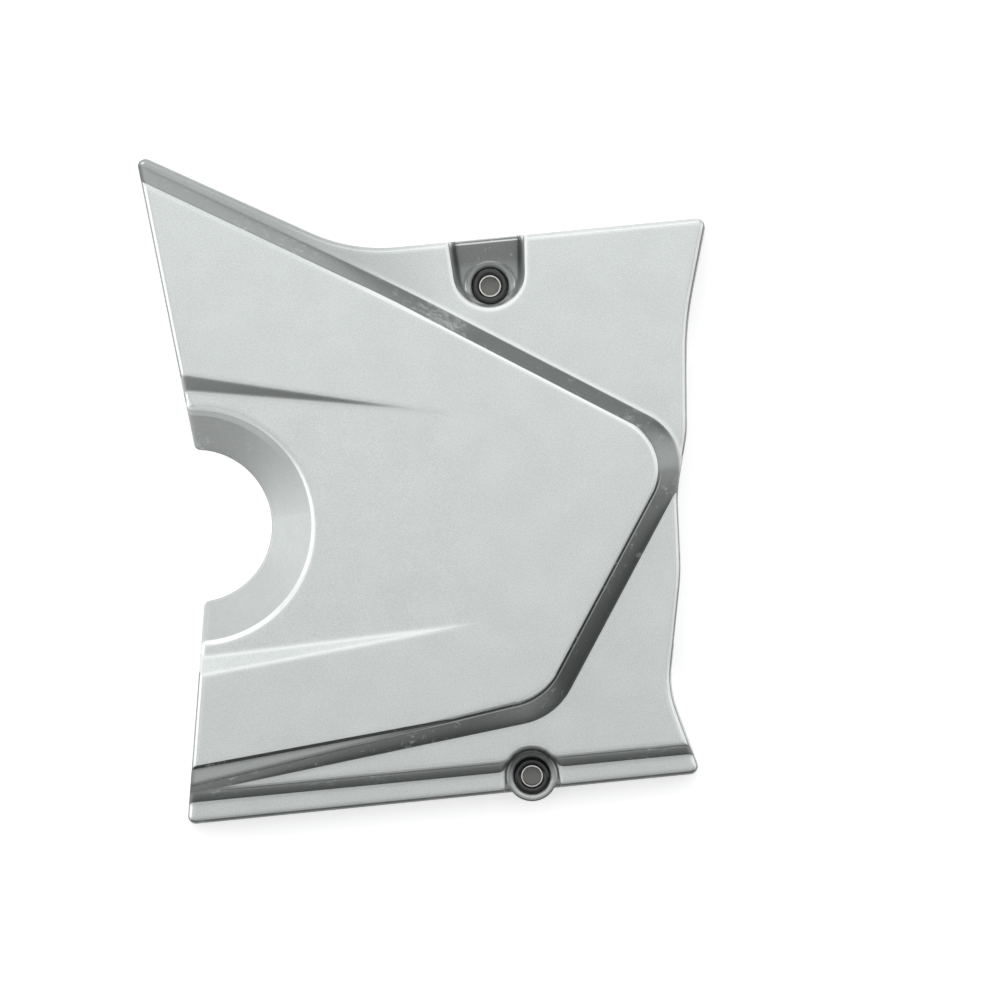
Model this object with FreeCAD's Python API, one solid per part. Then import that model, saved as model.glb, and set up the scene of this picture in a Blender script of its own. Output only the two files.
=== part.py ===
import FreeCAD, Part
import math
import os
from FreeCAD import Vector

# Sprocket cover for a motorcycle: a hollow moulded shell with two rubber mounted fixings.
# Frame: origin at the lower fixing on the mounting plane, +Y to the upper fixing,
# +X towards the rear of the machine, +Z outwards, away from the engine. Millimetres.

# Fixings
fixing_pitch = 165.0
collar_bore = 6.2
collar_wall = 0.5
collar_proud = 2.0
collar_chamfer = 0.15
fit_clearance = 0.05
grommet_neck = 10.2
grommet_lip = 12.2
grommet_flange = 13.4
grommet_lip_height = 2.5
grommet_flange_height = 2.8
grommet_dome_height = 1.2
grommet_dome_bevels = 3
boss_outer = 17.0
boss_rise = 0.8
boss_chamfer = 0.5
boss_web = 3.0
lip_seat_depth = 1.8
boss_foot = 1.5
seat_clearance = 0.2

# Levels above the mounting plane
ledge_height = 14.0
face_height = 22.0
plateau_height = 31.0
pocket_floor = 11.0

# Shell
wall = 2.5
draft_angle = 2.0
edge_radius = 1.8
crest_radius = 1.3
mouth_round = 0.9
mouth_bevels = 2
corner_margin = 0.2

# Outline of the rim: reaches along X from the fixings, and heights along Y
nose_reach = 115.3
nose_lead = 14.5
toe_lead = 16.3
nose_above_fixing = 55.3
saddle_reach = 45.1
saddle_above_fixing = 16.0
top_rear_above_fixing = 17.2
waist_reach = 57.2
hip_inset = 1.1
ankle_inset = 7.4
bottom_flare = 8.3
bulge_flare = 4.9
shoulder_flare = 2.8
tail_flare = 10.0
bulge_height = 110.5
shoulder_rise = 36.5
waist_drop = 19.5
hip_drop = 27.0
ankle_drop = 38.5
bottom_rear_drop = 4.3
bottom_front_drop = 6.8
saddle_radius = 56.0
front_inset_radius = 10.0
shoulder_radius = 110.0
bulge_radius = 35.0
waist_radius = 45.0
hip_radius = 70.0
ankle_radius = 32.0

# Half-round cut-out in the front edge, with a conical wall
recess_lead = 4.8
recess_height = 93.3
recess_radius = 25.6
recess_slope = 63.3

# Raised plateau: the foot of its ramp, and how far the ramp runs in plan
crown_reach = 30.0
crown_above_fixing = 2.1
crown_slope = 0.583
apex_ahead = 4.0
apex_drop = 3.8
heel_reach = 9.6
heel_height = 19.3
heel_slope = 0.1228
crown_radius = 1000.0
apex_radius = 24.0
heel_radius = 28.0
upper_ramp_run = 5.6
rear_ramp_run = 7.1
heel_ramp_run = 8.0
toe_ramp_run = 3.4

# Shoulder facet cut along the plateau's lower edge
facet_above_heel = 6.1
facet_before_heel = 1.0
facet_slope = 0.0983
facet_step = 1.1
facet_angle = 17.0

# Shallow valley that opens towards the cut-out: its rims, above and below the cut-out's middle,
# where it starts and at the front
valley_end_reach = 23.0
valley_depth = 5.0
valley_blend_radius = 500.0
valley_rise_end = 31.4
valley_rise_front = 53.6
valley_drop_end = 41.1
valley_drop_front = 50.9
valley_wall_lean = 52.0

# Ledge along the bottom
ledge_front_height = 4.3
ledge_rear_height = 6.3
ledge_wall_lean = 23.0
ledge_bend_radius = 4.0

# Fixing pockets: radii at the face and at the floor
upper_pocket_offset = 4.3
upper_pocket_radius = 11.8
upper_floor_radius = 10.0
lower_pocket_radius = 9.7
lower_floor_radius = 9.3
pocket_flare = 4.0
pocket_step = 0.2

# Chain gate in the rear wall
gate_low = 40.0
gate_high = 134.0
gate_height = 12.0
gate_radius = 4.0
gate_depth = 10.0

# Ribs that stiffen the bosses from behind
rib_thickness = 1.8
rib_foot = 4.0
rib_reach = 12.0
upper_rib_angles = (225.0, 315.0)
lower_rib_angles = (45.0, 135.0)

# Working margins for cutting tools
over = 5.0
least_radius = 0.4
full_share = 0.99
sharp_angle = 20.0

# Places along the outline that follow from the sizes above
front_reach = nose_reach - nose_lead
bottom_front_reach = front_reach + toe_lead
recess_reach = front_reach + recess_lead
hip_reach = waist_reach - hip_inset
ankle_reach = hip_reach - ankle_inset
bottom_rear_reach = ankle_reach + bottom_flare
bulge_reach = waist_reach + bulge_flare
shoulder_reach = bulge_reach + shoulder_flare
top_rear_reach = shoulder_reach + tail_flare
shoulder_height = bulge_height + shoulder_rise
waist_height = bulge_height - waist_drop
hip_height = waist_height - hip_drop
ankle_height = hip_height - ankle_drop
crown_height = fixing_pitch + crown_above_fixing
apex_reach = bulge_reach + apex_ahead
apex_height = bulge_height - apex_drop

# Corners keep a little more radius than the edge that is rounded round them
upright_radius = edge_radius + corner_margin
corner_radius = upright_radius + plateau_height * math.tan(math.radians(draft_angle))

# Grommet seats and sleeves
boss_top = pocket_floor + boss_rise
web_top = boss_top - lip_seat_depth
web_low = web_top - boss_web
collar_length = web_top + collar_proud
collar_outer = collar_bore + 2 * collar_wall


def turn_at(before, point, after):
    """Signed angle by which a polygon turns at a point, left turns positive."""
    a = point - before
    b = after - point
    return math.atan2(a.x * b.y - a.y * b.x, a.x * b.x + a.y * b.y)


def offset_corners(corners, insets):
    """Move each side of a left-turning polygon inwards; a side's inset is a (start, end) pair."""
    count = len(corners)
    sides = []
    for i in range(count):
        start = corners[i][0]
        end = corners[(i + 1) % count][0]
        along = (end - start).normalize()
        inward = Vector(-along.y, along.x, 0)
        sides.append((start + inward * insets[i][0], end + inward * insets[i][1]))
    moved = []
    for i in range(count):
        p, p_end = sides[i - 1]
        q, q_end = sides[i]
        d = p_end - p
        e = q_end - q
        share = ((q.x - p.x) * e.y - (q.y - p.y) * e.x) / (d.x * e.y - d.y * e.x)
        turn = turn_at(corners[i - 1][0], corners[i][0], corners[(i + 1) % count][0])
        mean = (insets[i - 1][1] + insets[i][0]) / 2
        radius = corners[i][1]
        if radius > 0:
            radius = radius - math.copysign(mean, turn)
            radius = max(radius, least_radius)
        moved.append((p + d * share, radius))
    return moved


def fitted(corners):
    """The corners, with radii drawn in where two arcs would overlap on the side between them."""
    count = len(corners)
    reaches = []
    for i in range(count):
        turn = turn_at(corners[i - 1][0], corners[i][0], corners[(i + 1) % count][0])
        reaches.append(corners[i][1] * math.tan(abs(turn) / 2))
    shares = []
    for i in range(count):
        after = (i + 1) % count
        room = full_share * (corners[after][0] - corners[i][0]).Length
        shares.append(min(1, room / max(reaches[i] + reaches[after], least_radius)))
    return [(corners[i][0], corners[i][1] * min(shares[i - 1], shares[i])) for i in range(count)]


def rounded_wire(corners, z):
    """Closed wire of straight sides joined by tangent arcs, at a height z."""
    corners = fitted(corners)
    count = len(corners)
    starts = []
    ends = []
    arcs = []
    for i in range(count):
        point, radius = corners[i]
        before = corners[i - 1][0]
        after = corners[(i + 1) % count][0]
        turn = turn_at(before, point, after)
        reach = radius * math.tan(abs(turn) / 2)
        back = (before - point).normalize()
        ahead = (after - point).normalize()
        middle = point + (back + ahead).normalize() * radius * (1 / math.cos(turn / 2) - 1)
        lift = Vector(0, 0, z)
        starts.append(point + back * reach + lift)
        ends.append(point + ahead * reach + lift)
        arcs.append(middle + lift)
    edges = []
    for i in range(count):
        if corners[i][1] > 0:
            edges.append(Part.Arc(starts[i], arcs[i], ends[i]).toShape())
        edges.append(Part.LineSegment(ends[i], starts[(i + 1) % count]).toShape())
    return Part.Wire(edges)


def ruled_solid(lower, upper):
    return Part.makeLoft([lower, upper], True, True)


def even(corners, inset):
    return offset_corners(corners, [(inset, inset)] * len(corners))


def slab(z_low, z_high):
    """A block wider than the cover between two heights."""
    span = 4 * (nose_reach + top_rear_reach)
    return Part.makeBox(span, span, z_high - z_low, Vector(-span / 2, -span / 2, z_low))


def rim_corners():
    top = fixing_pitch
    listed = [
        (-nose_reach, top + nose_above_fixing, corner_radius),
        (-front_reach, recess_height, front_inset_radius),
        (-bottom_front_reach, -bottom_front_drop, corner_radius),
        (bottom_rear_reach, -bottom_rear_drop, corner_radius),
        (ankle_reach, ankle_height, ankle_radius),
        (hip_reach, hip_height, hip_radius),
        (waist_reach, waist_height, waist_radius),
        (bulge_reach, bulge_height, bulge_radius),
        (shoulder_reach, shoulder_height, shoulder_radius),
        (top_rear_reach, top + top_rear_above_fixing, corner_radius),
        (-saddle_reach, top + saddle_above_fixing, saddle_radius),
    ]
    return [(Vector(x, y, 0), radius) for x, y, radius in listed]


def skirt(inset, bottom):
    """The drafted outline as a tall block, moved inwards by an inset, with the front cut-out taken away."""
    corners = rim_corners()
    tall = valley_floor(top_rear_reach, 0) + over
    slope = math.tan(math.radians(draft_angle))
    low = rounded_wire(even(corners, inset + bottom * slope), bottom)
    high = rounded_wire(even(corners, inset + tall * slope), tall)
    block = ruled_solid(low, high)
    lean = math.tan(math.radians(90 - recess_slope))
    shift = inset / math.sin(math.radians(recess_slope))
    foot = recess_radius + shift - (over - bottom) * lean
    head = recess_radius + shift + (tall + over) * lean
    centre = Vector(-recess_reach, recess_height, bottom - over)
    return block.cut(Part.makeCone(foot, head, tall + 2 * over - bottom, centre))


def sharp_uprights(block, height):
    """Steep edges that climb at least a height and where two walls meet at a sharp corner."""
    picked = []
    for edge in block.Edges:
        ends = [vertex.Point for vertex in edge.Vertexes]
        if len(ends) == 2 and abs(ends[0].z - ends[1].z) > height:
            point = edge.valueAt((edge.FirstParameter + edge.LastParameter) / 2)
            walls = block.ancestorsOfType(edge, Part.Face)
            a, b = [face.normalAt(*face.Surface.parameter(point)) for face in walls]
            if a.getAngle(b) > math.radians(sharp_angle):
                picked.append(edge)
    return picked


def outline_block(inset, rounded):
    """The skirt, with the corners beside the front cut-out rounded on the outer form."""
    block = skirt(inset, 0 if rounded else -over)
    if rounded:
        block = block.makeFillet(upright_radius, sharp_uprights(block, plateau_height / 2))
    return block


def rounded_top(block, radius):
    top = max(block.Faces, key=lambda face: face.CenterOfMass.z)
    return block.makeFillet(radius, top.OuterWire.Edges)


def valley_floor(x, inset):
    """Height of the valley's floor, which falls from the plateau towards the front."""
    front = bottom_front_reach - valley_end_reach
    return plateau_height - inset - valley_depth * (-valley_end_reach - x) / front


def below_valley(inset):
    """Everything under the plane of the valley's floor."""
    span = 2 * (nose_reach + top_rear_reach)
    profile = [
        Vector(-span, -span, -over),
        Vector(span, -span, -over),
        Vector(span, -span, valley_floor(span, inset)),
        Vector(-span, -span, valley_floor(-span, inset)),
    ]
    face = Part.Face(Part.makePolygon(profile + profile[:1]))
    return face.extrude(Vector(0, 2 * span, 0))


def valley_blend(inset):
    """Everything under the large arc that leads from the plateau into the valley's floor."""
    span = 2 * (nose_reach + top_rear_reach)
    fall = math.atan(valley_depth / (bottom_front_reach - valley_end_reach))
    reach = valley_blend_radius * math.tan(fall / 2)
    top = plateau_height - inset
    hub = Vector(reach - valley_end_reach, -span, top - valley_blend_radius)
    start = hub + Vector(0, 0, valley_blend_radius)
    middle = hub + Vector(-math.sin(fall / 2), 0, math.cos(fall / 2)) * valley_blend_radius
    end = hub + Vector(-math.sin(fall), 0, math.cos(fall)) * valley_blend_radius
    corners = [end, Vector(-span, -span, valley_floor(-span, inset)), Vector(-span, -span, -over),
               Vector(span, -span, -over), Vector(span, -span, top), start]
    edges = [Part.LineSegment(a, b).toShape() for a, b in zip(corners, corners[1:])]
    edges.append(Part.Arc(start, middle, end).toShape())
    return Part.Face(Part.Wire(edges)).extrude(Vector(0, 2 * span, 0))


def valley_section(x, inset):
    """Section across the valley at one x: two walls that lean outwards from a level under its floor."""
    share = (-valley_end_reach - x) / (bottom_front_reach - valley_end_reach)
    upper = recess_height + valley_rise_end + (valley_rise_front - valley_rise_end) * share
    lower = recess_height - valley_drop_end - (valley_drop_front - valley_drop_end) * share
    lean = math.tan(math.radians(valley_wall_lean))
    side = inset * (1 / math.cos(math.radians(valley_wall_lean)) - lean)
    top = plateau_height - inset
    points = []
    for z, ends in ((top - 2 * valley_depth, (lower - side, upper + side)),
                    (plateau_height + over, (upper + side, lower - side))):
        for y in ends:
            outward = 1 if y == upper + side else -1
            points.append(Vector(x, y + outward * (z - top) * lean, z))
    return Part.makePolygon(points + points[:1])


def valley_start():
    """Where the valley's blend leaves the plateau."""
    return -valley_end_reach + valley_blend_radius * valley_depth / (bottom_front_reach - valley_end_reach)


def valley_trough(inset):
    """The space between the valley's walls, from the end of its blend past the front edge."""
    far = -bottom_front_reach - over
    return ruled_solid(valley_section(valley_start(), inset), valley_section(far, inset))


def valley_block(block, inset, rounded):
    """The front of the block round the cut-out, up to the valley's floor, with its outer edge rounded."""
    x_high = valley_start() + over
    y_low = recess_height - valley_drop_front - 2 * over
    y_high = recess_height + valley_rise_front + 2 * over
    span = 2 * bottom_front_reach
    frame = Part.makeBox(span, y_high - y_low, span, Vector(x_high - span, y_low, -span / 2))
    front = block.common(below_valley(inset)).common(frame)
    if rounded:
        top = max(front.Faces, key=lambda face: face.CenterOfMass.z)
        edges = []
        for edge in top.OuterWire.Edges:
            middle = edge.valueAt((edge.FirstParameter + edge.LastParameter) / 2)
            if middle.x < x_high - least_radius and y_low + least_radius < middle.y < y_high - least_radius:
                edges.append(edge)
        front = front.makeFillet(edge_radius, edges)
    return front


def plateau_corners():
    left = -nose_reach - 3 * over
    crown_left = crown_height + (-crown_reach - left) * crown_slope
    heel_left = heel_height - (heel_reach - left) * heel_slope
    return [
        (Vector(left, crown_left, 0), 0),
        (Vector(left, heel_left, 0), 0),
        (Vector(heel_reach, heel_height, 0), heel_radius),
        (Vector(apex_reach, apex_height, 0), apex_radius),
        (Vector(-crown_reach, crown_height, 0), crown_radius),
    ]


def plateau_wire(z, inset):
    """The plateau's outline at one height on its ramp."""
    rise = plateau_height - face_height
    share = (z - face_height) / rise
    runs = [
        (0, 0),
        (toe_ramp_run, heel_ramp_run),
        (rear_ramp_run, rear_ramp_run),
        (upper_ramp_run, upper_ramp_run),
        (upper_ramp_run, upper_ramp_run),
    ]
    insets = [tuple(run * share + inset * math.hypot(run, rise) / rise for run in pair) for pair in runs]
    return rounded_wire(offset_corners(plateau_corners(), insets), z)


def plateau_block(inset):
    low = plateau_wire(face_height - inset - over, inset)
    high = plateau_wire(plateau_height - inset, inset)
    return ruled_solid(low, high)


def profile_along(start, end, points, margin):
    """Solid with a flat section swept along a level line; u of a point (u, z) is to the right of the line."""
    along = (end - start).normalize()
    right = Vector(along.y, -along.x, 0)
    origin = start - along * margin
    edges = []
    for i, item in enumerate(points):
        after = points[(i + 1) % len(points)]
        here = origin + right * item[0] + Vector(0, 0, item[1])
        there = origin + right * after[0] + Vector(0, 0, after[1])
        edges.append(Part.LineSegment(here, there).toShape())
    face = Part.Face(Part.Wire(edges))
    return face.extrude(along * ((end - start).Length + 2 * margin))


def facet_tool(inset):
    """Space above the facet that cuts the plateau's lower edge away towards the front."""
    top = plateau_height - inset
    u = -inset * math.tan(math.radians(45) / 2)
    far = u + 4 * heel_ramp_run
    fall = (far - u - facet_step) * math.tan(math.radians(facet_angle))
    section = [
        (u, top),
        (u, top + over),
        (far, top + over),
        (far, top - facet_step - fall),
        (u + facet_step, top - facet_step),
    ]
    rear = Vector(heel_reach - facet_before_heel, heel_height + facet_above_heel, 0)
    front = rear - Vector(1, facet_slope, 0) * (bottom_front_reach + rear.x)
    return profile_along(front, rear, section, 3 * over)


def ledge_wire(z, spread):
    """Outline of the space in front of the ledge's wall, which bends round the lower fixing."""
    tilt = math.atan2(ledge_rear_height - ledge_front_height, bottom_front_reach + bottom_rear_reach)
    lean = math.radians(ledge_wall_lean)
    along = Vector(math.cos(tilt), math.sin(tilt), 0)
    up = Vector(-math.sin(tilt), math.cos(tilt), 0)
    height = (ledge_front_height + bottom_front_reach * math.tan(tilt)) * math.cos(tilt)
    height += (z - face_height) * math.tan(lean) + spread / math.cos(lean)
    radius = pocket_radius(lower_pocket_radius, lower_floor_radius, z) + spread
    bend = max(ledge_bend_radius - spread, least_radius)
    reach = math.sqrt((radius + bend) ** 2 - (height + bend) ** 2)
    far = 2 * bottom_front_reach
    lift = Vector(0, 0, z)
    ends = []
    corners = []
    bends = []
    for side in (1, -1):
        hub = lift + along * side * reach + up * (height + bend)
        foot = hub - up * bend
        crook = lift + (hub - lift) * (radius / (radius + bend))
        middle = hub + (foot + crook - hub * 2).normalize() * bend
        ends.append(lift + along * side * far + up * height)
        corners.append(ends[-1] - up * far)
        bends.append((foot, middle, crook))
    right, left = bends
    return Part.Wire([
        Part.LineSegment(ends[0], right[0]).toShape(),
        Part.Arc(right[0], right[1], right[2]).toShape(),
        Part.Arc(right[2], lift + up * radius, left[2]).toShape(),
        Part.Arc(left[2], left[1], left[0]).toShape(),
        Part.LineSegment(left[0], ends[1]).toShape(),
        Part.LineSegment(ends[1], corners[1]).toShape(),
        Part.LineSegment(corners[1], corners[0]).toShape(),
        Part.LineSegment(corners[0], ends[0]).toShape(),
    ])


def pocket_radius(mouth, floor, z):
    """Radius of a pocket at one height, from its radii at the face and at the floor."""
    return floor + (mouth - floor) * (z - pocket_floor) / (face_height - pocket_floor)


def pocket_wire(centre_y, radius, side, z):
    """A round-bottomed pocket outline that flares and opens to one side, +1 up or -1 down."""
    flare = math.radians(pocket_flare)
    length = nose_above_fixing
    c, s = math.cos(flare), math.sin(flare)
    left = Vector(-radius * c, centre_y - side * radius * s, z)
    right = Vector(radius * c, centre_y - side * radius * s, z)
    bottom = Vector(0, centre_y - side * radius, z)
    left_out = left + Vector(-s, side * c, 0) * length
    right_out = right + Vector(s, side * c, 0) * length
    return Part.Wire([
        Part.LineSegment(left_out, left).toShape(),
        Part.Arc(left, bottom, right).toShape(),
        Part.LineSegment(right, right_out).toShape(),
        Part.LineSegment(right_out, left_out).toShape(),
    ])


def upper_wire(z, spread):
    radius = pocket_radius(upper_pocket_radius, upper_floor_radius, z) + spread
    return pocket_wire(fixing_pitch + upper_pocket_offset, radius, 1, z)


def lower_wire(z, spread):
    radius = pocket_radius(lower_pocket_radius, lower_floor_radius, z) + spread
    return pocket_wire(0, radius, -1, z)


def pockets(low, inset):
    """Spaces of both pockets from a level upwards, a step narrower than the bays that they stand in."""
    spaces = []
    for section in (upper_wire, lower_wire):
        spread = inset - pocket_step
        spaces.append(ruled_solid(section(low, spread), section(face_height + over, spread)))
    return spaces


def bay(section, inset, rounded):
    """Space cut out of the outer face down past the ledge; on the outer form its mouth is rounded by bevels."""
    levels = [(ledge_height - inset - over, 0)]
    if rounded:
        for i in range(mouth_bevels + 1):
            angle = math.pi / 2 * i / mouth_bevels
            drop = mouth_round * (1 - math.sin(angle))
            levels.append((face_height - drop, mouth_round * (1 - math.cos(angle))))
    levels.append((face_height + over, levels[-1][1]))
    return Part.makeLoft([section(z, inset + spread) for z, spread in levels], True, True)


def joined(body):
    """The same body with the split faces of one plane, cone or other surface joined up."""
    tool = Part.ShapeUpgrade.UnifySameDomain(body, True, True, False)
    tool.build()
    return tool.shape()


def form(inset, rounded):
    """The cover's outer form as a full body, or the same form moved inwards by the wall."""
    block = outline_block(inset, rounded)
    ledge = block.common(slab(-2 * over, ledge_height - inset))
    face = block.common(slab(-2 * over, face_height - inset))
    plateau = block.common(slab(-2 * over, plateau_height - inset))
    valley = valley_block(block, inset, rounded)
    raised = plateau_block(inset)
    if rounded:
        ledge = rounded_top(ledge, edge_radius)
        face = rounded_top(face, edge_radius)
        plateau = rounded_top(plateau, edge_radius)
        raised = rounded_top(raised, crest_radius)
    raised = raised.cut(facet_tool(inset))
    trough = valley_trough(inset)
    upper = plateau.common(raised).cut(trough)
    hollow = valley.common(raised).common(trough).common(valley_blend(inset))
    face = face.cut([bay(ledge_wire, inset, rounded), bay(upper_wire, inset, rounded)])
    return joined(upper.fuse(hollow).fuse(face).fuse(ledge))


def floor_block():
    """The outline up to the level of the pocket floors, with its top edge rounded."""
    block = outline_block(0, True).common(slab(-2 * over, pocket_floor))
    return rounded_top(block, edge_radius)


def fixing_points():
    return {"upper": Vector(0, fixing_pitch, 0), "lower": Vector(0, 0, 0)}


def disc(centre, diameter, z_low, z_high):
    return Part.makeCylinder(diameter / 2, z_high - z_low, Vector(centre.x, centre.y, z_low))


def boss(centre):
    """Round boss that carries a grommet, with its top edge broken."""
    body = disc(centre, boss_outer, boss_foot, boss_top)
    top = max(body.Faces, key=lambda face: face.CenterOfMass.z)
    return body.makeChamfer(boss_chamfer, top.Edges)


def boss_hole(centre):
    """Seat for the grommet: a web between a shallow upper seat and a deeper lower one."""
    lip_seat = disc(centre, grommet_lip + 2 * seat_clearance, web_top, boss_top + over)
    neck = disc(centre, grommet_neck + 2 * fit_clearance, web_low, web_top)
    flange_seat = disc(centre, grommet_flange + 2 * seat_clearance, -over, web_low)
    return lip_seat.fuse([neck, flange_seat])


def ribs(centre, angles):
    """Triangular ribs that tie a boss to the roof of the shell."""
    roof = face_height - wall / 2
    near = boss_outer / 2 - wall / 2
    far = boss_outer / 2 + rib_reach
    points = [Vector(near, -rib_thickness / 2, rib_foot), Vector(near, -rib_thickness / 2, roof),
              Vector(far, -rib_thickness / 2, roof)]
    plate = Part.Face(Part.makePolygon(points + points[:1])).extrude(Vector(0, rib_thickness, 0))
    placed = []
    for angle in angles:
        rib = plate.copy()
        rib.rotate(Vector(0, 0, 0), Vector(0, 0, 1), angle)
        rib.translate(centre)
        placed.append(rib)
    return placed


def chain_gate():
    """Opening in the rear wall's rim through which the chain leaves."""
    low_x = min(ankle_reach, hip_reach, waist_reach) - gate_depth
    high_x = max(top_rear_reach, shoulder_reach) + over
    corners = [
        (Vector(gate_low, -over, 0), 0),
        (Vector(gate_high, -over, 0), 0),
        (Vector(gate_high, gate_height, 0), gate_radius),
        (Vector(gate_low, gate_height, 0), gate_radius),
    ]
    outline = rounded_wire(corners, 0)
    tool = Part.Face(outline).extrude(Vector(0, 0, high_x - low_x))
    tool.rotate(Vector(0, 0, 0), Vector(1, 1, 1), 120)
    tool.translate(Vector(low_x, 0, 0))
    return tool


def cover():
    outer = form(0, True)
    inner = form(wall, False)
    inner = inner.cut(pockets(pocket_floor - wall, wall))
    points = fixing_points()
    stiffeners = ribs(points["upper"], upper_rib_angles) + ribs(points["lower"], lower_rib_angles)
    shell = outer.cut(inner).fuse(stiffeners)
    floor = floor_block()
    for space in pockets(pocket_floor - 2 * edge_radius, 0):
        shell = shell.cut(space.cut(floor))
    shell = shell.cut(chain_gate())
    shell = shell.fuse([boss(centre) for centre in points.values()])
    for centre in points.values():
        shell = shell.cut(boss_hole(centre))
    return joined(shell).Solids[0]


def grommet(centre):
    """Rubber grommet: domed lip in front, neck through the web, flange behind, turned as one section."""
    bore = collar_outer / 2 + fit_clearance
    lip = grommet_lip / 2
    neck = grommet_neck / 2
    flange = grommet_flange / 2
    top = web_top + grommet_lip_height
    low = web_low - grommet_flange_height
    dome = (lip - bore) / 2
    rise = grommet_dome_height
    points = [
        Vector(bore, 0, low),
        Vector(flange, 0, low),
        Vector(flange, 0, web_low),
        Vector(neck, 0, web_low),
        Vector(neck, 0, web_top),
        Vector(lip, 0, web_top),
    ]
    for i in range(grommet_dome_bevels + 1):
        angle = math.pi * i / grommet_dome_bevels
        points.append(Vector(bore + dome + dome * math.cos(angle), 0, top - rise + rise * math.sin(angle)))
    ring = Part.Face(Part.makePolygon(points + points[:1])).revolve(Vector(0, 0, 0), Vector(0, 0, 1), 360)
    ring.translate(centre)
    return ring


def collar(centre):
    """Steel sleeve that takes the bolt's clamping load, with a chamfered mouth."""
    inside = collar_bore / 2
    outside = collar_outer / 2
    c = collar_chamfer
    points = [
        Vector(inside, 0, 0),
        Vector(outside, 0, 0),
        Vector(outside, 0, collar_length),
        Vector(inside + c, 0, collar_length),
        Vector(inside, 0, collar_length - c),
    ]
    ring = Part.Face(Part.makePolygon(points + points[:1])).revolve(Vector(0, 0, 0), Vector(0, 0, 1), 360)
    ring.translate(centre)
    return ring


def main():
    os.makedirs("parts", exist_ok=True)
    nodes = {"cover": cover()}
    for name, centre in fixing_points().items():
        nodes[name + "_grommet"] = grommet(centre)
        nodes[name + "_collar"] = collar(centre)
    for name, shape in nodes.items():
        box = shape.optimalBoundingBox()
        print(name, shape.isValid(), shape.ShapeType, len(shape.Solids), round(shape.Volume), box)
        shape.exportStep("parts/" + name + ".step")


if __name__ == "__main__":
    main()
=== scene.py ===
import math

import bmesh
import bpy
from bpy.props import FloatProperty, FloatVectorProperty, PointerProperty
from mathutils import Euler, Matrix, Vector


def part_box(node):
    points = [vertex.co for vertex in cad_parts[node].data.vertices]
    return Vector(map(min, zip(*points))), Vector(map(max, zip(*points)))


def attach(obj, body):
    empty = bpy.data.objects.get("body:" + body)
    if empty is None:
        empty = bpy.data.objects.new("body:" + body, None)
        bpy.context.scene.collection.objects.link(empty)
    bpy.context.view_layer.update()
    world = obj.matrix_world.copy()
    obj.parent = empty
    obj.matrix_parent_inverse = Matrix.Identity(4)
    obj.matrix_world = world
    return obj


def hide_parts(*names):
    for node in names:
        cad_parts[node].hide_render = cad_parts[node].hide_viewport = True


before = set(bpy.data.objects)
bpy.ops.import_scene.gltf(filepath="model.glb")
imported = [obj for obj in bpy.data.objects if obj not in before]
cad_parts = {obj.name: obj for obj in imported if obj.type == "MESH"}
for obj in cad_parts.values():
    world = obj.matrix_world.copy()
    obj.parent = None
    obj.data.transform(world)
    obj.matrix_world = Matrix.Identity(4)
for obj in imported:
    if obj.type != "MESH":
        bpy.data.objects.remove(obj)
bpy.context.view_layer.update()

bl_info = {
    "name": "Sprocket Cover",
    "version": (1, 0, 0),
    "blender": (4, 5, 0),
    "location": "View3D > Sidebar > Sprocket Cover",
    "description": "Dresses a moulded sprocket cover with silver paint, rubber grommets and steel sleeves",
    "category": "Object",
}

MILLIMETRE = 0.001
FIXINGS = ("upper", "lower")

# Sockets of a Mix node that is set to colours
COLOUR_INPUTS = (6, 7)
COLOUR_OUTPUT = 2

# Where most of a noise's values lie, and how far a wave texture of scale one turns in a metre
NOISE_SPAN = (0.3, 0.7)
WAVE_RATE = 20.0

# Shares of the silver that painted shade takes away where a mask is full
SLOPE_LINE_LOSS = 0.8
RAMP_BORDER_LOSS = 0.4
RIDGE_BAND_LOSS = 0.7
RECESS_HEEL_LOSS = 0.16
SIDE_LOSS = 0.5
STRIP_LOSS = (0.42, -0.3)
POCKET_LOSS = (0.2, 0.75)

# Heights above the face between which the plateau's ramps start
RAISED_SPAN = (0.1 * MILLIMETRE, MILLIMETRE)

# Where the paint's masks start and end, as shares of the reach, height or width that each belongs to
RECESS_INNER = 0.97
STRIP_FULL = 0.6
RIDGE_SIDES = (0.5, 0.2)
POCKET_INNER = 0.9
POCKET_HEIGHTS = (0.95, 0.7)
POCKET_RUN = (-0.2, 0.4)
RUB_INNER = 0.3

# How much silver faces turned inwards keep, how bright the painted highlights along edges are and how much
# of their metal is lost
INSIDE_PAINTED_LIGHT = 0.8
STRIP_DULLNESS = 0.9
RIDGE_BRIGHTNESS = 0.45
HIGHLIGHT_CHALK = 0.7
CORNER_CHALK = 0.75

# Changes of a finish's roughness, and the scale and tone of its second pattern next to the first
PAINT_SPREAD = (-0.05, 0.06)
SCUFF_PATCH = 8
RUBBER_SPREAD = (-0.06, 0.1)
BLOOM_SCALE = 8
BLOOM_PALENESS = 2.2
STEEL_SPREAD = (-0.05, 0.12)
STAIN_DULLNESS = 0.8

# Fineness of softened edges and of turned meshes
BEVEL_SAMPLES = 8
CORNER_STEPS = 5
DOME_STEPS = 16
GROMMET_STEPS = 96
SHARP_ANGLE = math.radians(35)

# Stage, with lengths in metres
WHITE = (1.0, 1.0, 1.0, 1.0)
ROOM_COLOUR = (0.97, 0.99, 1.0, 1.0)
BORE_INNER = 0.9
FLOOR_HALF = 4.0
CLIP_END = 20.0


def size(name, description, default):
    """A length in metres that a user can change, written in millimetres."""
    return FloatProperty(name=name, description=description, default=default * MILLIMETRE,
                         min=0.0, subtype="DISTANCE", unit="LENGTH", precision=5)


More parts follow.
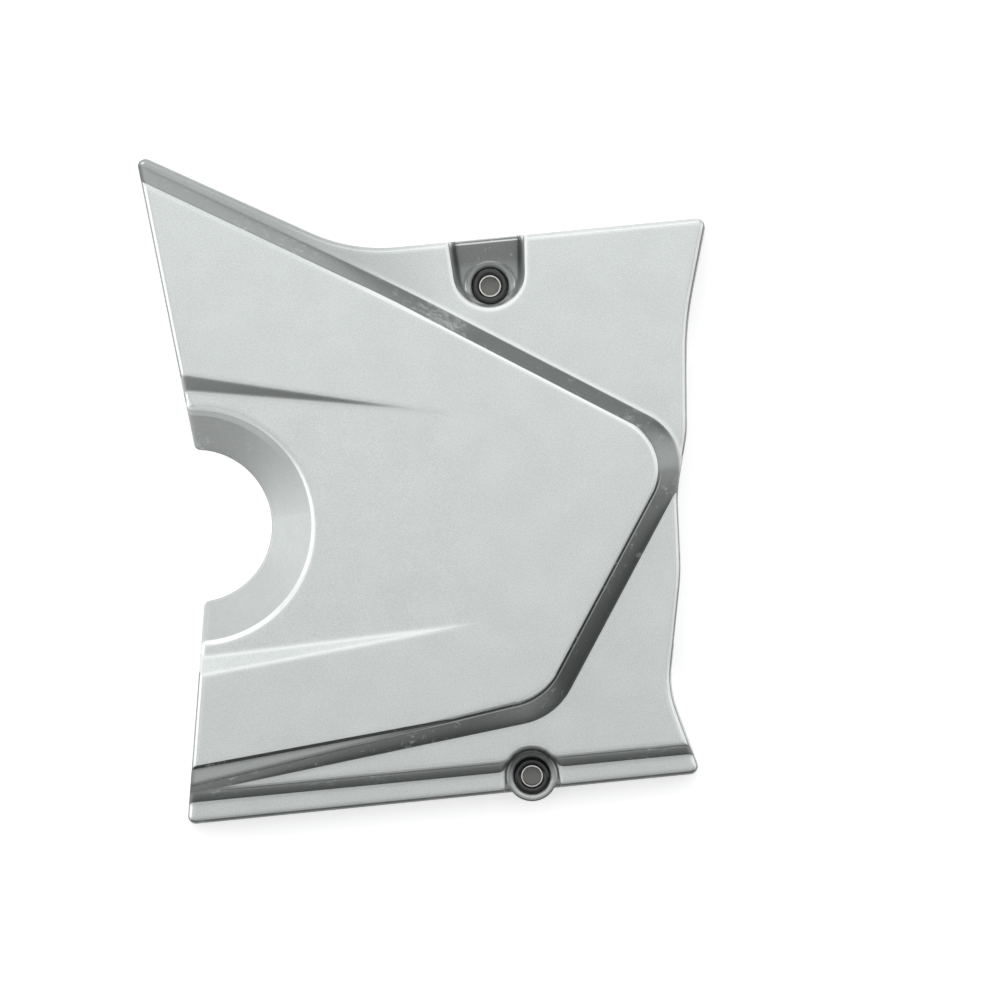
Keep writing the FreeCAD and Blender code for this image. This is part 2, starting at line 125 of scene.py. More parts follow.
def place(name, description, default):
    """A point in metres that a user can change, written in millimetres."""
    metres = [value * MILLIMETRE for value in default]
    return FloatVectorProperty(name=name, description=description, default=metres, size=3,
                               subtype="TRANSLATION", unit="LENGTH", precision=5)


def tint(name, description, default):
    """A colour that a user can change."""
    return FloatVectorProperty(name=name, description=description, default=default, size=3,
                               min=0.0, max=1.0, subtype="COLOR")


def share(name, description, default):
    """A share between nothing and all that a user can change."""
    return FloatProperty(name=name, description=description, default=default,
                         min=0.0, max=1.0, subtype="FACTOR")


class PaintSettings(bpy.types.PropertyGroup):
    """Silver paint of the cover."""

    colour: tint("Colour", "Silver of the bright flakes, where the coat is full", (0.64, 0.672, 0.658))
    dark_colour: tint("Dark Colour", "Silver of the darker flakes", (0.52, 0.548, 0.535))
    # Painted shade: the near-black tone that the silver is mixed towards where the masks paint shade
    painted_shade_colour: tint("Bare Colour", "Tone of the plastic where the coat is thin", (0.02, 0.022, 0.021))
    # Painted highlight: the pale colour of the bright lines along edges
    painted_highlight_colour: tint("Edge Colour", "Silver of the edges that are rubbed bright", (0.92, 0.94, 0.93))
    # Painted shade: how much of the silver is kept on the ramps, on faces turned to the lower edge, on the
    # ledge, on gentle slopes and in the recess
    ramp_painted_light: share("Ramp Coat", "How full the coat is on the plateau's ramps", 0.38)
    lower_painted_light: share("Lower Coat", "How full the coat is on the ramps that face the lower edge", 0.66)
    ledge_painted_light: share("Ledge Coat", "How full the coat is on the ledge's wall and the lower edge", 0.36)
    gentle_painted_light: share("Gentle Coat", "How full the coat is on gentle slopes to the lower edge", 0.92)
    recess_painted_light: share("Recess Coat", "How full the coat is at least in the half-round recess", 0.42)
    recess_place: place("Recess Place", "Middle of the half-round recess", (-107.0, 92.5, 26.0))
    recess_reach: size("Recess Reach", "Reach of the half-round recess", 43.0)
    # Painted shade: how far it reaches in each fixing's pocket
    upper_pocket_reach: size("Upper Pocket Reach", "Reach of the upper fixing's pocket", 22.0)
    lower_pocket_reach: size("Lower Pocket Reach", "Reach of the lower fixing's pocket", 11.0)
    # Painted shade: where it starts on the nose's strip, and how far the nose reaches
    strip_end: place("Strip End", "Where the coat starts to thin on the nose's strip", (-12.0, 150.0, 22.0))
    nose_reach: size("Nose Reach", "How far the nose reaches forwards", 116.0)
    face_height: size("Face Height", "Height of the face that the plateau's ramps stand on", 22.0)
    # Painted highlight: where the fine bright line below the plateau's crest runs
    ridge_height: size("Ridge Height", "Height of the fine bright line below the plateau's crest", 29.4)
    ridge_width: size("Ridge Width", "How far that line runs up the ramp", 0.5)
    metal: share("Metal", "How metallic the flakes make the paint", 0.85)
    roughness: share("Roughness", "Spread of the paint's reflections", 0.40)
    flake_size: size("Flake Size", "Size of the visible speckle", 0.45)
    peel_size: size("Peel Size", "Size of the waves in the paint film", 1.6)
    mottle_size: size("Mottle Size", "Size of the faint clouds in the colour", 14.0)
    edge_width: size("Edge Width", "How far edges are softened by the paint film", 2.4)
    scuff_size: size("Scuff Size", "Size of the scuffs on the thin coat", 2.4)
    rub_place: place("Rub Place", "Middle of the spot that was rubbed pale", (-14.3, 155.5, 27.0))
    rub_reach: size("Rub Reach", "Reach of the rubbed spot", 13.0)


class RubberSettings(bpy.types.PropertyGroup):
    """Grommets of black rubber."""

    colour: tint("Colour", "Black of the rubber", (0.012, 0.012, 0.013))
    roughness: share("Roughness", "Spread of the rubber's reflections", 0.13)
    gloss: FloatProperty(name="Gloss", description="Index of refraction of the rubber's skin",
                         default=1.52, min=1.0)
    lip: size("Lip", "Diameter of the domed lip", 12.2)
    neck: size("Neck", "Diameter of the neck through the web", 10.2)
    bore: size("Bore", "Diameter of the hole for the sleeve", 7.3)
    lip_height: size("Lip Height", "Height of the lip above the web", 2.3392)
    dome_height: size("Dome Height", "Height of the rounded part of the lip", 1.0392)
    web: size("Web", "Thickness of the web that the grommet grips", 3.0)
    corner: size("Corner", "Radius of the rounded corners behind the web", 0.25)
    grain_size: size("Grain Size", "Size of the moulding grain", 0.25)


class SteelSettings(bpy.types.PropertyGroup):
    """Sleeves of turned and plated steel."""

    colour: tint("Colour", "Colour of the plated steel", (0.56, 0.55, 0.52))
    roughness: share("Roughness", "Spread of the steel's reflections", 0.22)
    stain_size: size("Stain Size", "Size of the dull stains", 3.0)
    groove: size("Groove", "Pitch of the turning marks", 1.131)


class StageSettings(bpy.types.PropertyGroup):
    """Floor, light and camera."""

    floor: tint("Floor", "Colour of the floor", (0.8, 0.8, 0.8))
    lift: share("Lift", "Light that the floor adds where it is seen as the background", 0.55)
    bore_lift: share("Bore Lift", "Share of that light that is left under the sleeves' bores", 0.04)
    room: share("Room", "Strength of the light from the room", 0.14)
    field: size("Field", "Width of the picture at the cover", 335.5)
    aim: place("Aim", "Middle of the picture, at the height where the width holds", (-2.8, 93.2, 12.0))
    turn: FloatProperty(name="Turn", description="How far the picture is turned about the bolts' direction",
                        default=math.radians(-4.899), subtype="ANGLE")
    lens: FloatProperty(name="Lens", description="Focal length in millimetres", default=300.0, min=1.0)
    sensor: FloatProperty(name="Sensor", description="Sensor width in millimetres", default=36.0, min=1.0)


class Graph:
    """Node tree of one new material, with a short call for each kind of node that the finishes use."""

    def __init__(self, name):
        self.material = bpy.data.materials.new(name)
        self.material.use_nodes = True
        self.nodes = self.material.node_tree.nodes
        self.nodes.clear()
        output = self.nodes.new("ShaderNodeOutputMaterial")
        self.shader = self.nodes.new("ShaderNodeBsdfPrincipled")
        self.feed(output.inputs["Surface"], self.shader.outputs["BSDF"])
        self.coordinates = self.nodes.new("ShaderNodeTexCoord").outputs
        self.where = self.coordinates["Object"]

    def feed(self, socket, value):
        """Links a socket to another node's output, or sets it to a plain value."""
        if isinstance(value, bpy.types.NodeSocket):
            self.material.node_tree.links.new(value, socket)
        else:
            socket.default_value = value

    def surface(self, name, value):
        """Feeds an input of the material's shader."""
        self.feed(self.shader.inputs[name], value)

    def roughen(self, pattern, roughness, changes):
        """Varies the shader's roughness about a middle value by a pattern."""
        limits = [roughness + change for change in changes]
        self.surface("Roughness", self.remap(pattern, NOISE_SPAN, limits))

    def noise(self, feature, detail=2.0, roughness=0.5):
        """Noise whose features measure about a given length."""
        node = self.nodes.new("ShaderNodeTexNoise")
        node.inputs["Scale"].default_value = 1.0 / feature
        node.inputs["Detail"].default_value = detail
        node.inputs["Roughness"].default_value = roughness
        self.feed(node.inputs["Vector"], self.where)
        return node.outputs["Fac"]

    def remap(self, value, span, to=(0.0, 1.0), blend="LINEAR"):
        """Value brought from one span of numbers to another, and held at its ends."""
        node = self.nodes.new("ShaderNodeMapRange")
        node.interpolation_type = blend
        for name, limit in zip(("From Min", "From Max", "To Min", "To Max"), (*span, *to)):
            node.inputs[name].default_value = limit
        self.feed(node.inputs["Value"], value)
        return node.outputs["Result"]

    def mixed(self, factor, first, second):
        """Colour between two colours, each a value or a socket."""
        node = self.nodes.new("ShaderNodeMix")
        node.data_type = "RGBA"
        self.feed(node.inputs["Factor"], factor)
        for index, colour in zip(COLOUR_INPUTS, (first, second)):
            is_socket = isinstance(colour, bpy.types.NodeSocket)
            self.feed(node.inputs[index], colour if is_socket else (*colour, 1.0))
        return node.outputs[COLOUR_OUTPUT]

    def calculate(self, operation, first, second=0.0):
        """Number from one or two numbers, each a value or a socket."""
        node = self.nodes.new("ShaderNodeMath")
        node.operation = operation
        self.feed(node.inputs[0], first)
        self.feed(node.inputs[1], second)
        return node.outputs[0]

    def chain(self, operation, first, *others):
        """Several numbers joined by one operation."""
        for value in others:
            first = self.calculate(operation, first, value)
        return first

    def total(self, *values):
        """Sum of several numbers."""
        return self.chain("ADD", *values)

    def product(self, *values):
        """Product of several numbers."""
        return self.chain("MULTIPLY", *values)

    def largest(self, *values):
        """Largest of several numbers."""
        return self.chain("MAXIMUM", *values)

    def rest(self, *values):
        """What a product of several numbers leaves of one."""
        return self.calculate("SUBTRACT", 1.0, self.product(*values))

    def compare(self, operation, first, second):
        """Number from two vectors, each a value or a socket."""
        node = self.nodes.new("ShaderNodeVectorMath")
        node.operation = operation
        self.feed(node.inputs[0], first)
        self.feed(node.inputs[1], second)
        return node.outputs["Value"]

    def distance(self, point):
        """Distance of the surface from a point."""
        return self.compare("DISTANCE", self.where, point)

    def parts(self, vector):
        """X, Y and Z of a vector."""
        node = self.nodes.new("ShaderNodeSeparateXYZ")
        self.feed(node.inputs[0], vector)
        return node.outputs

    def rounded_normal(self, radius):
        """Normal that turns smoothly round edges."""
        node = self.nodes.new("ShaderNodeBevel")
        node.samples = BEVEL_SAMPLES
        node.inputs["Radius"].default_value = radius
        return node.outputs["Normal"]

    def bump(self, height, strength, distance, normal=None):
        """Normal bent by a height, from the plain normal or a given one."""
        node = self.nodes.new("ShaderNodeBump")
        node.inputs["Strength"].default_value = strength
        node.inputs["Distance"].default_value = distance
        self.feed(node.inputs["Height"], height)
        if normal is not None:
            self.feed(node.inputs["Normal"], normal)
        return node.outputs["Normal"]


class PaintedLightMasks:
    """Where painted shade darkens the cover's silver, and where painted highlights brighten its edges.

    A mask runs from 0 to 1 over the surface. It follows from the place of a face, at, and from the parts of
    its normal, facing: X points to the rear, Y to the upper fixing and Z outwards. Each span of a normal's
    part is written from where its mask is empty to where it is full.
    """

    def __init__(self, graph, rounded, settings):
        self.graph = graph
        self.settings = settings
        self.at = graph.parts(graph.where)
        self.facing = graph.parts(graph.coordinates["Normal"])
        self.bend = self.edge_bend(rounded)

        step = [settings.face_height + height for height in RAISED_SPAN]
        self.raised = graph.remap(self.at["Z"], step)
        reach = settings.recess_reach
        self.outside = graph.remap(graph.distance(settings.recess_place), (RECESS_INNER * reach, reach))
        self.recess = graph.rest(self.outside)
        rearward = self.faces("X", (-0.35, -0.1))
        self.ramps = graph.product(self.raised, rearward, self.outside)
        self.off_ramps = graph.rest(self.ramps)

        self.steep = self.faces("Z", (0.78, 0.62))
        self.outward = self.faces("Z", (0.15, 0.3))
        self.downhill = self.faces("Y", (-0.1, -0.3))
        self.sideways = self.between("Y", (0.5, 0.2), (-0.42, -0.2))
        self.strip = self.nose_strip()
        strip_rear = self.faces("X", (-0.1, 0.05))
        self.off_strip = graph.rest(self.strip, strip_rear, STRIP_DULLNESS)

    def faces(self, axis, span, to=(0.0, 1.0), blend="LINEAR"):
        """Mask by the part of the normal along an axis."""
        return self.graph.remap(self.facing[axis], span, to, blend)

    def between(self, axis, upper, lower):
        """Mask of the faces whose part of the normal along an axis lies between two soft limits."""
        return self.graph.product(self.faces(axis, upper), self.faces(axis, lower))

    def edge_bend(self, rounded):
        """How strongly the surface turns within the width of a softened edge."""
        plain = self.graph.nodes.new("ShaderNodeNewGeometry").outputs["Normal"]
        agreement = self.graph.compare("DOT_PRODUCT", rounded, plain)
        return self.graph.remap(agreement, (0.998, 0.97))

    def nose_strip(self):
        """Strip along the nose's upper edge, which grows towards the tip."""
        start = self.settings.strip_end
        forwards = self.graph.remap(self.at["X"], (start.x, -STRIP_FULL * self.settings.nose_reach))
        upwards = self.graph.remap(self.at["Y"], (start.y, start.y + self.settings.edge_width))
        return self.graph.product(forwards, upwards, self.outward)

    def ramp_painted_light(self):
        """Painted shade on the plateau's steep ramps."""
        return self.graph.rest(self.ramps, self.steep, 1.0 - self.settings.ramp_painted_light)

    def lower_painted_light(self):
        """Painted shade on faces that are turned to the lower edge, set apart for the ramps, the ledge's
        wall and the recess's cone.
        """
        graph = self.graph
        settings = self.settings
        turned = self.faces("Z", (0.97, 0.85))
        level = graph.rest(self.raised)
        ramp_loss = graph.product(self.steep, self.raised, settings.gentle_painted_light - settings.lower_painted_light)
        ledge_loss = graph.product(turned, level, settings.gentle_painted_light - settings.ledge_painted_light)
        on_flanks = graph.calculate("SUBTRACT", settings.gentle_painted_light, graph.total(ramp_loss, ledge_loss))
        round_cone = self.faces("Y", (-0.95, 0.2), (settings.recess_painted_light, 1.0), "SMOOTHSTEP")
        in_recess = graph.product(self.recess, round_cone)
        elsewhere = self.faces("Y", (-0.35, -0.02))
        return graph.largest(on_flanks, in_recess, elsewhere)

    def line_painted_light(self):
        """Painted shade as dark lines: on gentle slopes, beside the ramps and above the ridge."""
        graph = self.graph
        gentle = graph.product(self.faces("Y", (-0.12, -0.22)), self.faces("Z", (0.85, 0.9)))
        line = graph.rest(gentle, self.bend, SLOPE_LINE_LOSS)
        border = graph.rest(self.ramps, self.steep, self.bend, RAMP_BORDER_LOSS)
        ridge = self.settings.ridge_height
        above = graph.remap(self.at["Z"], (ridge, ridge + self.settings.ridge_width))
        leaning = self.faces("Z", (0.775, 0.73))
        band = graph.rest(self.ramps, self.downhill, leaning, above, RIDGE_BAND_LOSS)
        return graph.product(line, border, band)

    def heel_painted_light(self):
        """Painted shade where the recess's cone is turned to the upper edge."""
        heel = self.faces("Y", (0.1, 0.9), (0.0, RECESS_HEEL_LOSS), "SMOOTHSTEP")
        return self.graph.rest(self.recess, heel)

    def strip_painted_light(self):
        """Painted shade on the nose's strip, which fades on the ramp above it."""
        loss = self.graph.remap(self.raised, (0.0, 1.0), STRIP_LOSS)
        return self.graph.rest(self.strip, loss)

    def side_painted_light(self):
        """Painted shade on the outline's sides, below their rounded edges."""
        upright = self.faces("Z", (0.72, 0.6))
        return self.graph.rest(self.sideways, self.outside, upright, self.outward, self.off_ramps, SIDE_LOSS)

    def pocket_painted_light(self, fixing, reach):
        """Painted shade in a fixing's pocket, darker towards its upper end."""
        graph = self.graph
        low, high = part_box(fixing + "_grommet")
        middle = (low + high) / 2
        heights = [part * self.settings.face_height for part in POCKET_HEIGHTS]
        run = [middle.y + part * reach for part in POCKET_RUN]
        near = graph.remap(graph.distance(middle), (reach, POCKET_INNER * reach))
        deep = graph.remap(self.at["Z"], heights)
        loss = graph.remap(self.at["Y"], run, POCKET_LOSS)
        indoors = self.faces("Y", (0.9, 0.6))
        return graph.rest(near, deep, loss, indoors)

    def painted_light(self):
        """Painted light and shade all over the cover: one keeps the silver and less paints shade."""
        pocket_reaches = (self.settings.upper_pocket_reach, self.settings.lower_pocket_reach)
        pockets = [self.pocket_painted_light(fixing, reach) for fixing, reach in zip(FIXINGS, pocket_reaches)]
        outer = self.graph.product(self.ramp_painted_light(), self.lower_painted_light(), self.line_painted_light(), self.heel_painted_light(),
                                   self.strip_painted_light(), self.side_painted_light(), *pockets)
        # Faces turned inwards keep most of their silver, free of the painted shade
        inside = self.faces("Z", (-0.05, -0.3), (0.0, INSIDE_PAINTED_LIGHT))
        return self.graph.largest(outer, inside)

    def corners(self, painted_light):
        """Painted highlights along the corners of faces that painted shade leaves bright."""
        full = self.graph.remap(painted_light, (0.75, 0.95))
        return self.graph.product(self.bend, full, self.off_strip)

    def fillets(self):
        """Painted highlights on rounded edges that are turned to the front or the rear."""
        tilted = self.between("Z", (0.997, 0.96), (0.62, 0.75))
        return self.graph.product(tilted, self.sideways, self.off_ramps, self.off_strip)

    def crest(self):
        """Painted highlight along the upper edge of the plateau's ramps, except along its lower side."""
        tilted = self.between("Z", (0.997, 0.985), (0.72, 0.77))
        rearward = self.faces("X", (0.0, 0.08))
        off_lower = self.faces("Y", (-0.45, -0.25))
        return self.graph.product(self.ramps, tilted, rearward, off_lower, self.off_strip)

    def recess_rim(self):
        """Painted highlight on the rounded edge of the half-round recess."""
        return self.graph.product(self.recess, self.between("Z", (0.997, 0.975), (0.5, 0.6)))

    def ridge(self):
        """Painted highlight as a fine line below the plateau's crest, along its lower side."""
        sides = [part * self.settings.ridge_width for part in RIDGE_SIDES]
        offset = self.graph.calculate("SUBTRACT", self.at["Z"], self.settings.ridge_height)
        beside = self.graph.calculate("ABSOLUTE", offset)
        line = self.graph.remap(beside, sides)
        return self.graph.product(self.ramps, self.steep, self.downhill, line, RIDGE_BRIGHTNESS)

    def rubbed_and_painted_highlight(self, corners):
        """All painted highlights along edges."""
        return self.graph.largest(corners, self.fillets(), self.crest(), self.recess_rim(), self.ridge())


def flaked_silver(graph, speckle, settings):
    """Silver of bright and darker flakes with faint clouds."""
    flakes = graph.remap(speckle, (0.38, 0.60))
    cloud = graph.noise(settings.mottle_size, detail=3.0, roughness=0.55)
    clouds = graph.remap(cloud, NOISE_SPAN, (-0.15, 0.15))
    return graph.mixed(graph.total(flakes, clouds), settings.dark_colour, settings.colour)


def scuffs(graph, painted_light, settings):
    """Small marks where painted shade is deep, with more of them in patches and on the worn spot."""
    marks = graph.noise(settings.scuff_size, detail=5.0, roughness=0.65)
    patch = graph.noise(SCUFF_PATCH * settings.scuff_size)
    patches = graph.remap(patch, (0.4, 0.7), (-0.1, 0.06))
    reach = settings.rub_reach
    spot = graph.remap(graph.distance(settings.rub_place), (reach, RUB_INNER * reach), (0.0, 0.16))
    marked = graph.remap(graph.total(marks, patches, spot), (0.56, 0.72))
    # Scuffs gather where painted shade darkens the silver most
    thin = graph.remap(painted_light, (0.2, 0.75), (1.0, 0.0))
    return graph.product(marked, thin)


def silver_paint(settings):
    """Satin metallic paint: a speckle of flakes, faint clouds and a wavy film, with painted shade on the
    ramps and on flanks turned to the lower edge, scuffs where that painted shade is deep, and painted
    highlights along the edges."""
    graph = Graph("silver_paint")
    rounded = graph.rounded_normal(settings.edge_width)
    masks = PaintedLightMasks(graph, rounded, settings)
    painted_light = masks.painted_light()
    corners = masks.corners(painted_light)
    rubbed_and_painted_highlight = masks.rubbed_and_painted_highlight(corners)

    speckle = graph.noise(settings.flake_size, detail=3.0, roughness=0.7)
    # Painted shade: the silver is mixed towards a near-black tone where the masks darken it
    coloured = graph.mixed(painted_light, settings.painted_shade_colour, flaked_silver(graph, speckle, settings))
    scuffed = graph.mixed(scuffs(graph, painted_light, settings), coloured, settings.dark_colour)
    # Painted highlights: bright lines along edges, mixed over the scuffed silver
    graph.surface("Base Color", graph.mixed(rubbed_and_painted_highlight, scuffed, settings.painted_highlight_colour))

    # Less metal where painted highlights lie, so their pale colour shows
    lower_chalk = masks.faces("Y", (-0.1, -0.4), (0.0, HIGHLIGHT_CHALK))
    chalky = graph.largest(graph.product(rubbed_and_painted_highlight, lower_chalk), graph.product(corners, CORNER_CHALK))
    graph.surface("Metallic", graph.calculate("SUBTRACT", settings.metal, chalky))
    graph.roughen(speckle, settings.roughness, PAINT_SPREAD)
    peel = graph.noise(settings.peel_size)
    film = graph.bump(peel, strength=0.06, distance=0.1 * MILLIMETRE, normal=rounded)
    graph.surface("Normal", graph.bump(speckle, strength=0.10, distance=0.05 * MILLIMETRE, normal=film))
    return graph.material


def black_rubber(settings):
    """Moulded rubber with a fine grain and a dull bloom."""
    graph = Graph("black_rubber")
    bloom = graph.noise(BLOOM_SCALE * settings.grain_size)
    pale = tuple(BLOOM_PALENESS * channel for channel in settings.colour)
    graph.surface("Base Color", graph.mixed(graph.remap(bloom, (0.4, 0.75)), settings.colour, pale))
    graph.roughen(bloom, settings.roughness, RUBBER_SPREAD)
    graph.surface("IOR", settings.gloss)
    grain = graph.noise(settings.grain_size, detail=3.0)
    graph.surface("Normal", graph.bump(grain, strength=0.12, distance=0.03 * MILLIMETRE))
    return graph.material


def turned_steel(settings):
    """Plated steel with dull stains and fine turning marks around the bolt's axis."""
    graph = Graph("turned_steel")
    stain = graph.noise(settings.stain_size, detail=3.0)
    dull = tuple(STAIN_DULLNESS * channel for channel in settings.colour)
    graph.surface("Base Color", graph.mixed(graph.remap(stain, (0.35, 0.7)), settings.colour, dull))
    graph.surface("Metallic", 1.0)
    graph.roughen(stain, settings.roughness, STEEL_SPREAD)
    marks = graph.nodes.new("ShaderNodeTexWave")
    marks.bands_direction = "Z"
    marks.inputs["Scale"].default_value = 2 * math.pi / (WAVE_RATE * settings.groove)
    marks.inputs["Distortion"].default_value = 1.5
    graph.feed(marks.inputs["Vector"], graph.where)
    graph.surface("Normal", graph.bump(marks.outputs["Fac"], strength=0.2, distance=0.02 * MILLIMETRE))
    return graph.material


def dress(piece, material):
    """Gives a piece one material in place of those it came with."""
    piece.data.materials.clear()
    piece.data.materials.append(material)


def turned_mesh(name, outline, steps):
    """Closed ring turned about Z from an outline of (radius, height) points."""
    mesh = bmesh.new()
    rings = []
    for i in range(steps):
        angle = 2 * math.pi * i / steps
        rings.append([mesh.verts.new((r * math.cos(angle), r * math.sin(angle), z)) for r, z in outline])
    count = len(outline)
    for i in range(steps):
        here = rings[i]
        ahead = rings[(i + 1) % steps]
        for j in range(count):
            k = (j + 1) % count
            mesh.faces.new((here[j], ahead[j], ahead[k], here[k]))
    bmesh.ops.recalc_face_normals(mesh, faces=mesh.faces)
    data = bpy.data.meshes.new(name)
    mesh.to_mesh(data)
    mesh.free()
    data.shade_smooth()
    data.set_sharp_from_angle(angle=SHARP_ANGLE)
    return data


def rounded_corner(corner, before, after, radius):
    """Points that round a corner of an outline with an arc tangent to both sides."""
    point = Vector(corner)
    back = (Vector(before) - point).normalized()
    ahead = (Vector(after) - point).normalized()
    half = back.angle(ahead) / 2
    reach = radius / math.tan(half)
    hub = point + (back + ahead).normalized() * radius / math.sin(half)
    start = point + back * reach - hub
    end = point + ahead * reach - hub
    points = []
    for i in range(CORNER_STEPS + 1):
        arm = start.lerp(end, i / CORNER_STEPS).normalized() * radius
        points.append(tuple(hub + arm))
    return points


def lip_dome(settings, top):
    """Half-round top of a grommet's lip, from its outer side to the bore."""
    middle = (settings.lip + settings.bore) / 4
    half = (settings.lip - settings.bore) / 4
    base = top - settings.dome_height
    points = []
    for i in range(DOME_STEPS + 1):
        angle = math.pi * i / DOME_STEPS
        points.append((middle + half * math.cos(angle), base + settings.dome_height * math.sin(angle)))
    return points


def grommet_outline(settings, low, high):
    """Section of a grommet: flange behind, neck through the web and a domed lip in front."""
    bore = settings.bore / 2
    lip = settings.lip / 2
    neck = settings.neck / 2
    flange = (high.x - low.x) / 2
    web_top = high.z - settings.lip_height
    web_low = web_top - settings.web
    inner = (bore, low.z)
    outer = (flange, low.z)
    shoulder = (flange, web_low)
    root = (neck, web_low)
    outline = rounded_corner(inner, (bore, web_low), outer, settings.corner)
    outline += rounded_corner(outer, inner, shoulder, settings.corner)
    outline += rounded_corner(shoulder, outer, root, settings.corner)
    outline += [root, (neck, web_top), (lip, web_top)]
    return outline + lip_dome(settings, high.z)


class SPROCKET_OT_paint(bpy.types.Operator):
    """Paint the moulded cover silver"""

    bl_idname = "sprocket.paint"
    bl_label = "Paint Cover"

    def execute(self, context):
        dress(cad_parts["cover"], silver_paint(context.scene.sprocket_paint))
        return {"FINISHED"}


class SPROCKET_OT_grommets(bpy.types.Operator):
    """Mould the two rubber grommets over their plain solids"""

    bl_idname = "sprocket.grommets"
    bl_label = "Mould Grommets"

    def execute(self, context):
        settings = context.scene.sprocket_rubber
        material = black_rubber(settings)
        for fixing in FIXINGS:
            node = fixing + "_grommet"
            low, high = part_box(node)
            mesh = turned_mesh(node + "_moulded", grommet_outline(settings, low, high), GROMMET_STEPS)
            piece = bpy.data.objects.new(node + "_moulded", mesh)
            piece.location = ((low.x + high.x) / 2, (low.y + high.y) / 2, 0)
            context.scene.collection.objects.link(piece)
            dress(piece, material)
            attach(piece, "root")
            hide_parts(node)
        return {"FINISHED"}


class SPROCKET_OT_sleeves(bpy.types.Operator):
    """Finish the two steel sleeves"""

    bl_idname = "sprocket.sleeves"
    bl_label = "Finish Sleeves"

    def execute(self, context):
        material = turned_steel(context.scene.sprocket_steel)
        for fixing in FIXINGS:
            dress(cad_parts[fixing + "_collar"], material)
        return {"FINISHED"}


def floor_material(settings):
    """Pale floor that takes the shadow; rays that see it as the background find it lifted to white."""
    graph = Graph("studio_floor")
    graph.surface("Base Color", (*settings.floor, 1.0))
    graph.surface("Roughness", 0.9)
    graph.surface("Specular IOR Level", 0.0)
    path = graph.nodes.new("ShaderNodeLightPath").outputs
    seen = graph.largest(path["Is Camera Ray"], path["Is Glossy Ray"], path["Is Transmission Ray"])
    for fixing in FIXINGS:
        low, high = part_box(fixing + "_collar")
        reach = (high.x - low.x) / 2
        away = graph.distance(((low.x + high.x) / 2, (low.y + high.y) / 2, 0.0))
        seen = graph.product(seen, graph.remap(away, (BORE_INNER * reach, reach), (settings.bore_lift, 1.0)))
    graph.surface("Emission Color", WHITE)
    graph.surface("Emission Strength", graph.product(seen, settings.lift))
    return graph.material


def floor_mesh():
    """Large square on the ground."""
    corners = [(-FLOOR_HALF, -FLOOR_HALF, 0), (FLOOR_HALF, -FLOOR_HALF, 0),
               (FLOOR_HALF, FLOOR_HALF, 0), (-FLOOR_HALF, FLOOR_HALF, 0)]
    mesh = bpy.data.meshes.new("floor")
    mesh.from_pydata(corners, [], [(0, 1, 2, 3)])
    return mesh


def panel_light(name, stand, target, width, height, radiance):
    """Soft rectangular light of a given radiance, hidden from the camera."""
    data = bpy.data.lights.new(name, "AREA")
    data.shape = "RECTANGLE"
    data.size = width
    data.size_y = height
    data.energy = radiance * math.pi * width * height
    lamp = bpy.data.objects.new(name, data)
    lamp.location = stand
    aim = Vector(target) - Vector(stand)
    lamp.rotation_euler = aim.to_track_quat("-Z", "Y").to_euler()
    lamp.visible_camera = False
    bpy.context.scene.collection.objects.link(lamp)


def studio_lights(settings):
    """Two panels that look down and three that look at the cover from its sides."""
    cover = (settings.aim.x, settings.aim.y, 0.0)
    panel_light("overhead_panel", stand=(0.05, 0.73, 1.35), target=(0.05, 0.73, 0.0),
                width=2.0, height=1.6, radiance=1.3)
    panel_light("front_panel", stand=(0.05, -0.67, 1.35), target=(0.05, -0.67, 0.0),
                width=2.0, height=1.2, radiance=0.36)
    panel_light("back_panel", stand=(-0.1, 1.35, 0.5), target=cover, width=2.4, height=0.8, radiance=1.5)
    panel_light("left_panel", stand=(-1.25, 0.15, 0.55), target=cover, width=1.2, height=0.8, radiance=1.8)
    panel_light("right_panel", stand=(1.25, 0.2, 0.6), target=cover, width=0.9, height=0.6, radiance=1.5)


def studio_world(strength):
    """Dim room around the stage."""
    world = bpy.data.worlds.new("studio_room")
    world.use_nodes = True
    background = world.node_tree.nodes["Background"]
    background.inputs["Color"].default_value = ROOM_COLOUR
    background.inputs["Strength"].default_value = strength
    bpy.context.scene.world = world


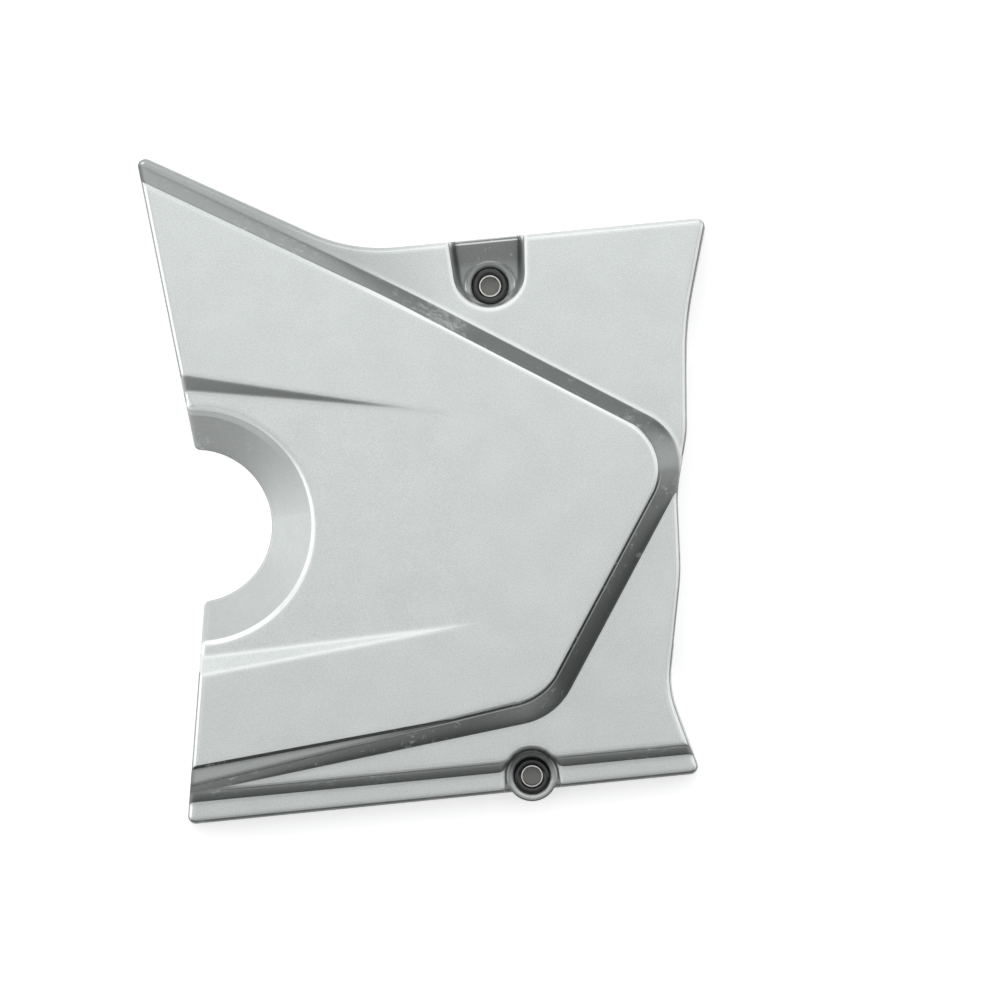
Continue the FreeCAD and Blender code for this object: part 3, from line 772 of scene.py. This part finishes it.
def photo_camera(settings):
    """Camera that looks along the bolts from far away, as the photo does."""
    data = bpy.data.cameras.new("photo_camera")
    data.lens = settings.lens
    data.sensor_width = settings.sensor
    data.clip_end = CLIP_END
    camera = bpy.data.objects.new("photo_camera", data)
    distance = settings.lens * settings.field / settings.sensor
    camera.location = settings.aim + Vector((0.0, 0.0, distance))
    camera.rotation_euler = Euler((0.0, 0.0, settings.turn))
    return camera


class SPROCKET_OT_stage(bpy.types.Operator):
    """Lay the floor, set the lights and place the camera"""

    bl_idname = "sprocket.stage"
    bl_label = "Set Stage"

    def execute(self, context):
        scene = context.scene
        settings = scene.sprocket_stage
        floor = bpy.data.objects.new("floor", floor_mesh())
        scene.collection.objects.link(floor)
        dress(floor, floor_material(settings))
        studio_lights(settings)
        studio_world(settings.room)
        camera = photo_camera(settings)
        scene.collection.objects.link(camera)
        scene.camera = camera
        scene.view_settings.view_transform = "Standard"
        return {"FINISHED"}


class SPROCKET_PT_panel(bpy.types.Panel):
    """Sidebar panel with the steps in order"""

    bl_label = "Sprocket Cover"
    bl_idname = "SPROCKET_PT_panel"
    bl_space_type = "VIEW_3D"
    bl_region_type = "UI"
    bl_category = "Sprocket Cover"

    def draw(self, context):
        for operator in OPERATORS:
            self.layout.operator(operator.bl_idname)


SETTINGS = {
    "sprocket_paint": PaintSettings,
    "sprocket_rubber": RubberSettings,
    "sprocket_steel": SteelSettings,
    "sprocket_stage": StageSettings,
}
OPERATORS = (SPROCKET_OT_paint, SPROCKET_OT_grommets, SPROCKET_OT_sleeves, SPROCKET_OT_stage)
CLASSES = (*SETTINGS.values(), *OPERATORS, SPROCKET_PT_panel)


def register():
    for item in CLASSES:
        bpy.utils.register_class(item)
    for name, group in SETTINGS.items():
        setattr(bpy.types.Scene, name, PointerProperty(type=group))


def unregister():
    for name in SETTINGS:
        delattr(bpy.types.Scene, name)
    for item in reversed(CLASSES):
        bpy.utils.unregister_class(item)


def main():
    register()
    bpy.ops.sprocket.paint()
    bpy.ops.sprocket.grommets()
    bpy.ops.sprocket.sleeves()
    bpy.ops.sprocket.stage()


if __name__ == "__main__":
    main()
